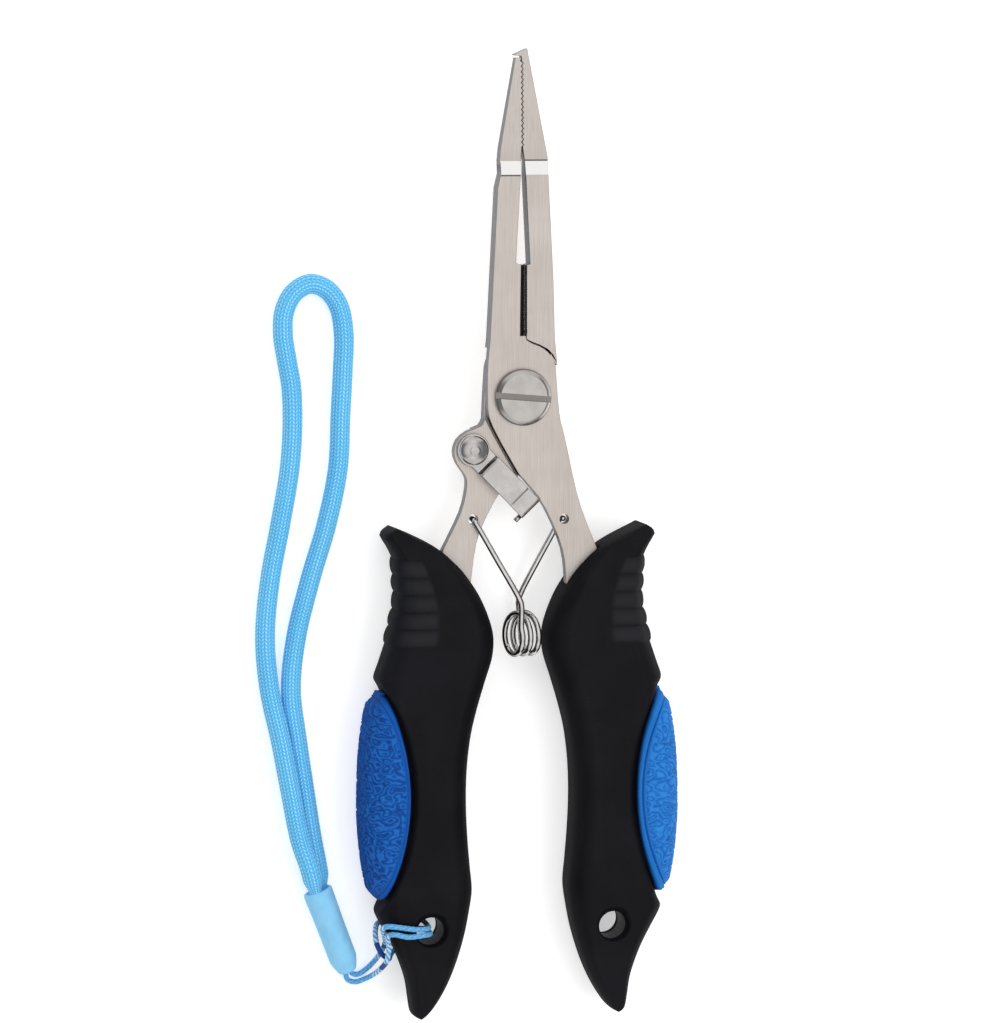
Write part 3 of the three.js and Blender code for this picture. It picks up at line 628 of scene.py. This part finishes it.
tether = {
    "diameter": 1.1, "length": 0.1278, "columns": 8, "stitch": 0.9, "inset": 0.1, "relief": 0.12,
    "plainFront": -28.5, "fleckedUp": (3.5, 14.5),  # the climb beside the grip is the most flecked
    # painted shade on the turn that crosses both strands
    "shadedTurnAt": (-27.5, -113.2), "shadedTurnUp": (7, 9.6),  # the turn that crosses both strands
}
tetherRoute = [
    (-35.1, -118.8, 2.4), (-34.5, -120.5, 1.4), (-33.2, -120.9, 0.8), (-31.6, -120, 0.9), (-30.2, -118.3, 2.2),
    (-29.3, -116.3, 4.4), (-28.8, -114.4, 6.6), (-28.8, -112.7, 8.8), (-29.5, -110.9, 11.2),
    (-30.2, -109.3, 13.3), (-29.4, -108.6, 15.1), (-27.2, -108.8, 15.6), (-23.5, -109.4, 15.4),
    (-20.8, -109.6, 13.6), (-20.1, -109.4, 8), (-20.5, -109.3, 2.6), (-22.6, -109.2, 0.95),
    (-26.2, -109.4, 0.9), (-28.9, -110, 1.7), (-30, -110.7, 4.4), (-30.5, -111.9, 6.8), (-30.4, -113.6, 8.2),
    (-29.6, -115.3, 8.8), (-28, -116.6, 7.4), (-27.2, -117, 5), (-26.4, -116.6, 2.5), (-24.6, -115, 1.4),
    (-22.4, -112.8, 1.1), (-20.4, -111.4, 2.4), (-19.7, -111.1, 7), (-20.1, -110.9, 12.6),
    (-22.2, -110.7, 15.3), (-25.2, -110.9, 15.4), (-28.2, -110.3, 15.2), (-29.2, -110.9, 13.7),
    (-28.6, -113.6, 11.6), (-28.7, -116.4, 10.2), (-29.2, -118.5, 7.2), (-30.3, -120.5, 3.6),
    (-31.8, -121.9, 1.1), (-33.6, -122.5, 0.75), (-35.3, -121.9, 1.1), (-36.2, -119.4, 2.3),
]


def makeTether():
    rows = 1100 if fine else 400
    sides = 32
    path = catmullRom(tetherRoute, rows)
    length = tether["length"] / mm
    rise = braidRelief(rows, sides, length, tether["columns"], tether["stitch"])
    radius = tether["diameter"] / 2 - tether["inset"] + tether["relief"] * rise
    along = np.linspace(0, length, rows)[:, None]
    turn = np.linspace(0, 2 * np.pi, sides, endpoint=False)[None, :]
    x, y, z = path.T
    low, high = tether["fleckedUp"]
    flecked = ((x < tether["plainFront"]) & (z > low) & (z < high))[:, None]
    white = smoothStep(np.sin(3 * turn + along * 4.6), 0.0, 0.6) * (0.15 + 0.75 * flecked)
    (shadeX, shadeY), (low, high) = tether["shadedTurnAt"], tether["shadedTurnUp"]
    shadedTurn = (x < shadeX) & (y < shadeY) & (z > low) & (z < high)
    # painted shade: the turn takes the braid's hollow colour and loses its white flecks
    rise = rise * (1 - 0.95 * shadedTurn[:, None])
    piece = tube("tether_cord_braid", path, radius, tetherBraid,
                 {"relief": rise.ravel(), "fleckAndGlint": (0.85 * white * (rise > 0.3)).ravel()})
    return piece, path


tetherPiece, tetherPath = makeTether()
settle(tetherPiece, "back_body", "cord", "tether_cord")
print("tether made")


steelEdge = {"width": 0.14, "shortest": 0.7}
nutEdge = {"width": 0.09, "shortest": 0.2}
for node, body in (("front_half", "front_body"), ("back_half", "back_body")):
    settle(bevelled(node, f"{node}_steel", steel, **steelEdge), body, "steel", node)
settle(bevelled("pivot_nut", "pivot_nut_sleeve", screwSteel, **nutEdge), "back_body", "bright", "pivot_nut")
print("steel made")

rivet = {"at": (-10.2, -10.9), "foot": 5.6, "under": 9.9, "radius": 3.05, "shank": 1.4}


def makeRivet():
    x, y = rivet["at"]

    def at(across, back, along):
        return (x + across, y + back, along)

    foot, under, r = rivet["foot"], rivet["under"], rivet["radius"]
    profile = [(0.01, foot - 0.9), (2.0, foot - 0.9), (2.2, foot - 0.86), (2.45, foot - 0.6),
               (2.5, foot - 0.35), (2.5, foot), (rivet["shank"], foot), (rivet["shank"], under),
               (r - 0.06, under), (r, under + 0.06), (r, under + 0.3),
               (r - 0.1, under + 0.5), (r - 0.35, under + 0.74), (r - 0.8, under + 1.02),
               (r - 1.3, under + 1.26), (1.25, under + 1.42), (1.05, under + 1.5), (0.9, under + 1.6),
               (0.75, under + 1.65), (0.5, under + 1.67), (0.01, under + 1.68)]
    return lathe("lock_rivet_dome", profile, 72, at, rivetSteel)


settle(makeRivet(), "back_body", "bright", "lock_rivet")

lever = {
    "angle": math.radians(-46.2), "low": 9.3, "rise": 1.8, "thickness": 1.0, "head": 3.4, "half": 2.62,
    "reach": 17.2, "tabLow": 9.0, "bend": 0.55, "round": 0.16,
    "ear": ((16.3, -2.4), (16.3, -3.92), (17.1, -3.92), (17.1, -2.4)), "earHeight": (9.02, 10.1),
}


def leverPath():  # the middle of the strip: along it and up, from its round head to its turned-down tab
    low, rise, reach, bend = (lever[key] for key in ("low", "rise", "reach", "bend"))
    along = np.concatenate([np.linspace(-lever["head"] + 0.02, 4.0, 34), np.linspace(4.1, 5.3, 12),
                            np.linspace(5.7, 12.3, 14), np.linspace(12.5, 13.7, 12), [14.5, 15.3, 15.9]])
    step = 0.85 * smoothStep(along, 4.2, 5.1) + 0.25 * smoothStep(along, 5.1, 12.9)
    step -= 0.1 * smoothStep(along, 12.9, 13.5)
    path = list(zip(along, low + rise * step))
    middle = reach - lever["thickness"] / 2 - bend
    top = low + rise
    path += [(middle + bend * math.sin(a), top - bend * (1 - math.cos(a)))
             for a in np.linspace(0, math.pi / 2, 9)]
    return np.array(path + [(middle + bend, top - bend - 0.3), (middle + bend, lever["tabLow"])])


def makeLever():
    path = leverPath()
    tangents = np.gradient(path, axis=0)
    tangents /= np.linalg.norm(tangents, axis=1)[:, None]
    normals = np.stack([-tangents[:, 1], tangents[:, 0]], -1)
    head, half, thick, edge = (lever[key] for key in ("head", "half", "thickness", "round"))
    widths = np.where(path[:, 0] < 2.15, np.sqrt(np.maximum(head ** 2 - path[:, 0] ** 2, 0.02)), half)
    widths = np.maximum(widths, np.where(path[:, 0] > 0, half, 0))
    corner = np.linspace(0, math.pi / 2, 4)
    ring = []
    for quarter, (sx, sz) in enumerate(((1, 1), (-1, 1), (-1, -1), (1, -1))):
        turn = corner + quarter * math.pi / 2
        side = sz * (thick / 2 - edge)
        ring += [(sx, edge * math.cos(a) - sx * edge, side + edge * math.sin(a)) for a in turn]
        if quarter % 2 == 0:
            ring += [(f * sx, 0, sz * thick / 2) for f in (0.6, 0.2, -0.2, -0.6)]
    cosine, sine = math.cos(lever["angle"]), math.sin(lever["angle"])
    x0, y0 = rivet["at"]

    def at(s, across, z):
        return (x0 + s * cosine - across * sine, y0 + s * sine + across * cosine, z)

    points = [
        at(along + nx * rise, share * width + inset, up + nz * rise)
        for (along, up), (nx, nz), width in zip(path, normals, widths) for share, inset, rise in ring]
    faces = closedFaces(len(path), len(ring))
    ear = len(points)
    points += [at(s, across, z) for z in lever["earHeight"] for s, across in lever["ear"]]
    faces += [[ear + i for i in range(3, -1, -1)], [ear + 4 + i for i in range(4)]]
    faces += [[ear + i, ear + (i + 1) % 4, ear + 4 + (i + 1) % 4, ear + 4 + i] for i in range(4)]
    piece = addMesh("lock_lever_strip", place(points), faces, leverSteel)
    turnOut(piece)
    return piece


settle(makeLever(), "lock_body", "steel", "lock_lever")

spring = {
    "wire": 1.2, "coil": 4.25, "turns": 2.55, "length": 5.0, "centre": (0.3, -49.3, 7.8),
    "axis": (-0.94, 0, 0.34), "first": 1.2, "left": (-10.1, -25.3), "right": (8.8, -25.4),
    "overArm": 9.6, "underArm": 6.55, "armTop": 8.7,
    "stillEnd": (-7.0, -35, 0), "movedEnd": (9.6, -35, 0),  # where the bend starts and ends
    "rows": 900, "sides": 20,
}


def springPath(count):
    axis = np.array(spring["axis"]) / np.linalg.norm(spring["axis"])
    up = np.array([0, 1.0, 0])
    front = np.cross(up, axis)
    (lx, ly), (rx, ry) = spring["left"], spring["right"]
    over, under, top = spring["overArm"], spring["underArm"], spring["armTop"]
    points = [
        (lx, ly, top - 2.4), (lx, ly, top - 0.8), (lx + 0.15, ly - 0.35, over - 0.25),
        (lx + 0.9, ly - 1.6, over + 0.05), (lx + 4.8, ly - 8.5, over + 0.6), (-1, -41.5, over + 1.4),
        (-0.5, -43, over + 1.7),
    ]
    for share in np.linspace(0, 1, 41):
        angle = spring["first"] + 2 * math.pi * spring["turns"] * share
        points.append(tuple(
            np.array(spring["centre"]) + axis * spring["length"] * (0.5 - share)
            + spring["coil"] * (up * math.cos(angle) + front * math.sin(angle))))
    points += [
        (0.9, -46, 3.1), (0.6, -42.9, 3.6), (1.2, -41, 3.8), (4.3, -34.6, 5),
        (rx - 1.2, ry - 2.6, under - 0.2), (rx - 0.15, ry - 0.4, under + 0.15),
        (rx, ry, under + 1.5), (rx, ry, under + 3),
    ]
    return catmullRom(points, count)


def makeSpring():
    rows = spring["rows"]
    path = springPath(rows)
    radius = np.full((rows, spring["sides"]), spring["wire"] / 2)
    ends = np.minimum(np.arange(rows), rows - 1 - np.arange(rows))
    radius *= (0.8 + 0.2 * smoothStep(ends, 0, 3))[:, None]
    return tube("return_spring_wire", path, radius, chrome)


springPiece = makeSpring()
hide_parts("return_spring")
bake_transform(springPiece)
print("spring made")


grip = {
    "thickness": 16.0, "squareness": 3.4, "ribStart": 33.1, "ribPitch": 3.55, "ribs": 5, "ribHeight": 0.65,
    "faceRise": 0.5, "recess": 1.6, "valley": 2.0, "floorGap": 0.02,
    "lanyard": (19.35, 110.4), "lanyardRadius": 3.0,
}
padShape = {
    "centre": (65.2, 82.2), "arc": 41.0, "halfLength": 21.5, "proud": 0.85, "floorGap": 0.03, "grain": 0.22,
    # the groove's second number sets both its depth and the painted shade in it
    "depth": 1.45, "groove": {"left": (0.32, 0.35), "right": (0.62, 0.8)},  # how far in, how dark
}

outerTable = [
    (26.6, 26.4), (27.4, 27.9), (28.4, 28.6), (29.3, 28.2), (30.4, 27.5), (32.2, 26.5), (34, 25.9), (38, 25.6),
    (42, 25.5), (46, 26.3), (50, 27.3), (54.5, 28.8), (58.6, 30.1), (60.3, 29.5), (64, 30.9), (68, 31.7),
    (74, 32.4), (81, 32.7), (87.5, 32.7), (94, 32.2), (99, 31.5), (102.8, 30.6), (104.4, 29.7), (106.4, 30.1),
    (108, 29.6), (110.6, 28.2), (114.6, 26.1), (118, 24.7), (121.5, 23.6), (125.5, 23), (127.6, 22.7),
    (128.6, 22.2), (129.1, 21.1),
]
innerTable = [
    (26.6, 26.3), (27.2, 24.7), (28.4, 22), (29.9, 19.1), (31.5, 16.6), (33, 14.9), (35.6, 12.3), (39, 9.8),
    (41.8, 8.2), (45.2, 6.75), (48.5, 5.8), (51.4, 5.65), (54.4, 6.1), (59.1, 7.6), (64.3, 9.15),
    (69.5, 10.4), (75, 11.15), (80, 11.45), (85.5, 11.45), (91.5, 11.15), (96.8, 10.7), (101.8, 10.2),
    (105, 10.5), (110.6, 11.5), (115, 12.7), (119.5, 14.3), (123.5, 16.2), (127, 18.4), (128.6, 19.9),
    (129.1, 21),
]
halfTable = [
    (26.6, 0.62), (30, 0.78), (36, 0.92), (42, 1), (46, 1), (60, 1), (90, 1), (95, 1), (104, 0.88),
    (110, 0.79), (118, 0.7), (125, 0.58), (129.1, 0.4),
]


def tableCurve(pairs, at):
    known, values = (np.array(column, float) for column in zip(*pairs))
    slopes = np.gradient(values, known)
    slopes[1:-1] = (values[2:] - values[:-2]) / (known[2:] - known[:-2])
    at = np.clip(at, known[0], known[-1])
    cell = np.clip(np.searchsorted(known, at, side="right") - 1, 0, len(known) - 2)
    span = known[cell + 1] - known[cell]
    t = (at - known[cell]) / span
    return ((2 * t ** 3 - 3 * t ** 2 + 1) * values[cell] + (t ** 3 - 2 * t ** 2 + t) * slopes[cell] * span
            + (3 * t ** 2 - 2 * t ** 3) * values[cell + 1] + (t ** 3 - t ** 2) * slopes[cell + 1] * span)


screw = {"under": 10.4, "top": 12.0, "foot": 4.4, "shank": 2.6, "radius": 5.85, "rim": 0.95, "slot": 1.3,
         "depth": 0.8, "turn": math.radians(-5)}


def makeScrew():
    under, top, r = screw["under"], screw["top"], screw["radius"]
    flat = r - screw["rim"]
    foot, shank = screw["foot"], screw["shank"]
    profile = [(0.01, foot), (shank, foot), (shank, under), (r - 0.1, under), (r, under + 0.1),
               (r, top - 0.76), (r - 0.03, top - 0.7), (r - 0.07, top - 0.65),
               (flat + 0.05, top - 0.05), (flat, top - 0.015), (flat - 0.06, top), (0.01, top)]
    piece = lathe("pivot_screw_head", profile, 96, lambda x, y, along: (x, y, along), screwSteel)
    half, reach = screw["slot"] / 2, r + 2
    cosine, sine = math.cos(screw["turn"]), math.sin(screw["turn"])
    outline = [(x * cosine - y * sine, x * sine + y * cosine)
               for x, y in ((-reach, -half), (reach, -half), (reach, half), (-reach, half))]
    cutAway(piece, [cutterMesh("slot", outline, top - screw["depth"], top + 1)])
    work = bmesh.new()
    work.from_mesh(piece.data)
    crisp(work, 30)
    work.to_mesh(piece.data)
    work.free()
    return piece


def sectionAt(turn):  # the grip's rounded section, flat on top and below, from -1 to 1 both ways
    power = 2 / grip["squareness"]
    across = np.sign(np.cos(turn)) * np.abs(np.cos(turn)) ** power
    up = np.clip(1.07 * np.sign(np.sin(turn)) * np.abs(np.sin(turn)) ** power, -1, 1)
    return across, up


def sectionRing(count):  # even points round the whole section
    across, up = sectionAt(np.linspace(0, 2 * np.pi, 4001))
    return resample(np.stack([across * 1.2, up], -1), count + 1)[:-1] / [1.2, 1]


def ribWave(s):
    along = (s - grip["ribStart"]) / grip["ribPitch"]
    inside = (along > 0) & (along < grip["ribs"])
    return np.where(inside, np.sqrt(np.abs(np.sin(np.pi * along))), 0)


def barShare(s, across):  # 1 on the bars that the ribs send across the grip's face
    return ribWave(s) * smoothStep(across, 0.13, 0.25) * (1 - smoothStep(across, 0.75, 0.95))


def gripPoints(side, s, across, up, grow):  # all arrays of one shape; grow is outwards
    low, high = tableCurve(innerTable, s), tableCurve(outerTable, s)
    half = (high - low) / 2
    rib = grip["ribHeight"] * ribWave(s) * smoothStep(across, 0.1, 0.45)
    face = grip["faceRise"] * barShare(s, across)
    width = half + np.maximum(grow, 0.1 - half) + rib
    height = np.minimum(tableCurve(halfTable, s), 1) * grip["thickness"] / 2 + np.minimum(grow, 0) + face
    u = (high + low) / 2 + width * across
    z = np.maximum(grip["thickness"] / 2 + height * up, grip["floorGap"])
    return np.stack([handleMiddle + side * u, -s, z], -1)


def padDistance(side, points):  # from the pad's edge in plan, above 0 on the rubber's side of it
    u = (points[..., 0] - handleMiddle) * side
    s = -points[..., 1]
    return np.hypot(u - padShape["centre"][0], s - padShape["centre"][1]) - padShape["arc"]


def cutterMesh(name, outline, low, high):
    count = len(outline)
    points = [(x, y, z) for z in (low, high) for x, y in outline]
    return addMesh(name, place(points), closedFaces(2, count), rubber)


def cutAway(piece, cutters):
    for cutter in cutters:
        cut = piece.modifiers.new(cutter.name, "BOOLEAN")
        cut.operation = "DIFFERENCE"
        cut.solver = "EXACT"
        cut.object = cutter
    bpy.context.view_layer.update()
    graph = bpy.context.evaluated_depsgraph_get()
    mesh = bpy.data.meshes.new_from_object(piece.evaluated_get(graph))
    piece.modifiers.clear()
    piece.data = mesh
    for cutter in cutters:
        bpy.data.objects.remove(cutter)


armRoom = {
    "inner": [(7.2, -25), (8.5, -32.2), (9, -35.8), (9.2, -38.5), (10.2, -44), (11.5, -50)],
    "outer": [(19, -50), (18, -45), (16.7, -36), (16.2, -31.6), (14.9, -28.3), (13, -24)],
    "clear": 0.22, "rightArm": (10.3, 2.85), "leftArm": (8.7, 3.0),  # top, thickness
}


def makeSleeve(side, name):
    count = 110 if fine else 64
    ribStep, plainStep = (0.16, 0.4) if fine else (0.35, 0.9)
    stations = np.concatenate([
        [26.62, 26.75, 27.0, 27.4, 27.9, 28.6, 29.5, 30.5, 31.6], np.arange(32.6, 51.6, ribStep),
        np.arange(52, 126, plainStep), np.linspace(126.3, 128.5, 8), [128.8, 129.0, 129.08]])
    ring = sectionRing(count)
    s = np.repeat(stations[:, None], count, 1)
    across = np.repeat(ring[None, :, 0], len(stations), 0)
    up = np.repeat(ring[None, :, 1], len(stations), 0)
    plain = gripPoints(side, s, across, up, 0 * s)
    away = padDistance(side, plain)
    sunk = 1 - smoothStep(away, 0.1, grip["valley"])
    points = gripPoints(side, s, across, up, -grip["recess"] * sunk)
    faces = closedFaces(len(stations), count)
    # painted highlight: marks the rib bars on the top face
    barHighlight = barShare(s, across) * (up > 0.5)
    piece = addMesh(name, place(points.reshape(-1, 3)), faces, rubber, {"barHighlight": barHighlight.ravel()})
    turnOut(piece)
    top, thickness = armRoom["rightArm"] if side > 0 else armRoom["leftArm"]
    clear = armRoom["clear"]
    outline = [(x - clear, y) for x, y in armRoom["inner"]] + [(x + clear, y) for x, y in armRoom["outer"]]
    if side < 0:
        outline = [(2 * handleMiddle - x, y) for x, y in outline][::-1]
    mouth = cutterMesh("mouth", outline, top - thickness - clear, top + clear)
    u, s0 = grip["lanyard"]
    centre = (handleMiddle + side * u, -s0)
    r = grip["lanyardRadius"]
    profile = [(0.01, -1), (r + 1.4, -1), (r + 1.1, 1.4), (r + 0.35, 1.95), (r + 0.08, 2.5), (r, 3.2),
               (r, 12.8), (r + 0.08, 13.5), (r + 0.35, 14.05), (r + 1.1, 14.6), (r + 1.4, 17), (0.01, 17)]
    hole = lathe("hole", profile, 64, lambda x, y, along: (centre[0] + x, centre[1] + y, along), rubber)
    cutAway(piece, [mouth, hole])
    return piece


def grainAt(point, seed):  # wrinkles that meander across the pad: 0 in a valley, 1 along a crest
    p = Vector((point[0] / 2.5, point[1] / 1.7, point[2] / 2.5 + seed))
    swell = noise.noise(p) + 0.28 * noise.noise(p * 2.3 + Vector((4, 8, seed)))
    return 0.5 + 0.5 * math.cos(2 * math.pi * 2.3 * swell)


def makePad(side, name):
    rows = 340 if fine else 150
    columns = 230 if fine else 90
    tall = grip["thickness"] / 2
    centreU, centreS = padShape["centre"]
    span = np.linspace(-1, 1, rows)
    stations = centreS + np.sign(span) * np.abs(span) ** 0.92 * padShape["halfLength"]
    ringAcross, ringUp = sectionAt(np.linspace(-np.pi / 2, np.pi / 2, 1601))
    flat = np.linspace(-0.6, 0, 200)
    ringAcross = np.concatenate([flat, ringAcross, flat[::-1]])
    ringUp = np.concatenate([0 * flat - 1, ringUp, 0 * flat + 1])
    groove, grooveDepthAndShade = padShape["groove"][name.split("_")[0]]
    inner, outer, relief = [], [], []
    for s in stations:
        low, high = tableCurve(innerTable, np.array([s]))[0], tableCurve(outerTable, np.array([s]))[0]
        edgeU = centreU - math.sqrt(max(padShape["arc"] ** 2 - (s - centreS) ** 2, 0))
        middle, half = (low + high) / 2, (high - low) / 2
        least = min((edgeU - middle) / (half + 0.3), 0.992)
        kept = ringAcross >= least
        line = resample(np.stack([ringAcross[kept] * half, ringUp[kept] * tall], -1), columns)
        across, up = line[:, 0] / half, line[:, 1] / tall
        row = gripPoints(side, np.full(columns, s), across, up, np.zeros(columns))
        inside = -padDistance(side, row)  # distance in from the edge, in plan
        tip = min(s - stations[0], stations[-1] - s)
        girth = np.linalg.norm(np.diff(line, axis=0), axis=1).sum()
        walked = np.linspace(0, girth, columns)
        way = np.minimum(walked, girth - walked)
        inside = np.minimum(np.maximum(inside, 0), np.maximum(way, 0))
        inside = np.minimum(inside, tip * 1.1)
        flange = 0.12 + 0.22 * smoothStep(inside, 0, 0.25)
        trench = smoothStep(inside, groove - 0.2, groove) - smoothStep(inside, groove + 0.1, groove + 0.4)
        dip = -0.5 * grooveDepthAndShade * trench
        dome = (padShape["proud"] - 0.34) * smoothStep(inside, groove + 0.1, groove + 1.3)
        grained = smoothStep(inside, groove + 0.2, groove + 0.8)
        grains = np.array([grainAt(p, 5.0 * side) for p in row])
        grow = flange + dip + dome + padShape["grain"] * grained * (grains - 0.8)
        skin = row + outward(side, across, up) * grow[:, None]
        skin[:, 2] = np.maximum(skin[:, 2], padShape["floorGap"])
        outer.append(skin)
        inner.append(gripPoints(side, np.full(columns, s), across, up, np.full(columns, -padShape["depth"])))
        # colour value: painted shade in the grain's hollows and in the groove, painted highlight on the crests
        tone = 0.55 + 0.45 * grains ** 3 - 0.45 * (1 - grains) ** 3
        relief.append(np.clip(0.6 + grained * (tone - 0.6) - grooveDepthAndShade * trench, 0, 1))
    outer, inner, relief = np.array(outer), np.array(inner), np.array(relief)
    first = gridFaces(rows, columns, closed=False)
    shift = rows * columns
    second = [[i + shift for i in face[::-1]] for face in first]
    rim = ([(i, 0) for i in range(rows)] + [(rows - 1, j) for j in range(1, columns)]
           + [(i, columns - 1) for i in range(rows - 2, -1, -1)] + [(0, j) for j in range(columns - 2, 0, -1)])
    ids = [i * columns + j for i, j in rim]
    walls = [[a, b, b + shift, a + shift] for a, b in zip(ids, ids[1:] + ids[:1])]
    points = np.concatenate([outer.reshape(-1, 3), inner.reshape(-1, 3)])
    values = np.concatenate([relief.ravel(), 0 * relief.ravel() + 0.3])
    faces = first + second + walls
    piece = addMesh(name, place(points), faces, padBlue[name.split("_")[0]], {"relief": values})
    turnOut(piece)
    return piece


def outward(side, across, up):  # rough outward direction on the grip's section
    x = side * np.sign(across) * np.abs(across) ** 3
    z = np.sign(up) * np.abs(up) ** 3
    size = np.maximum(np.hypot(x, z), 1e-6)
    return np.stack([x / size, 0 * x, z / size], -1)


settle(makeScrew(), "back_body", "bright", "pivot_screw")
for sideName, side, body in (("left", -1, "back_body"), ("right", 1, "front_body")):
    settle(makeSleeve(side, f"{sideName}_grip_rubber"), body, "rubber", f"{sideName}_grip_sleeve")
    settle(makePad(side, f"{sideName}_grip_inlay"), body, "pad", f"{sideName}_grip_pad")
    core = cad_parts[f"{sideName}_grip_core"]
    for slot in core.material_slots:
        slot.material = corePlastic
    print(sideName, "grip made")


floor = {"half": 3.0, "below": 0.02 * mm}
corners = [(x * floor["half"], y * floor["half"], 0) for x, y in ((-1, -1), (1, -1), (1, 1), (-1, 1))]
floorPiece = addMesh("floor", corners, [(0, 1, 2, 3)], makeFloor("pale_floor"))
floorPiece.location.z = -floor["below"]

print("scene made")
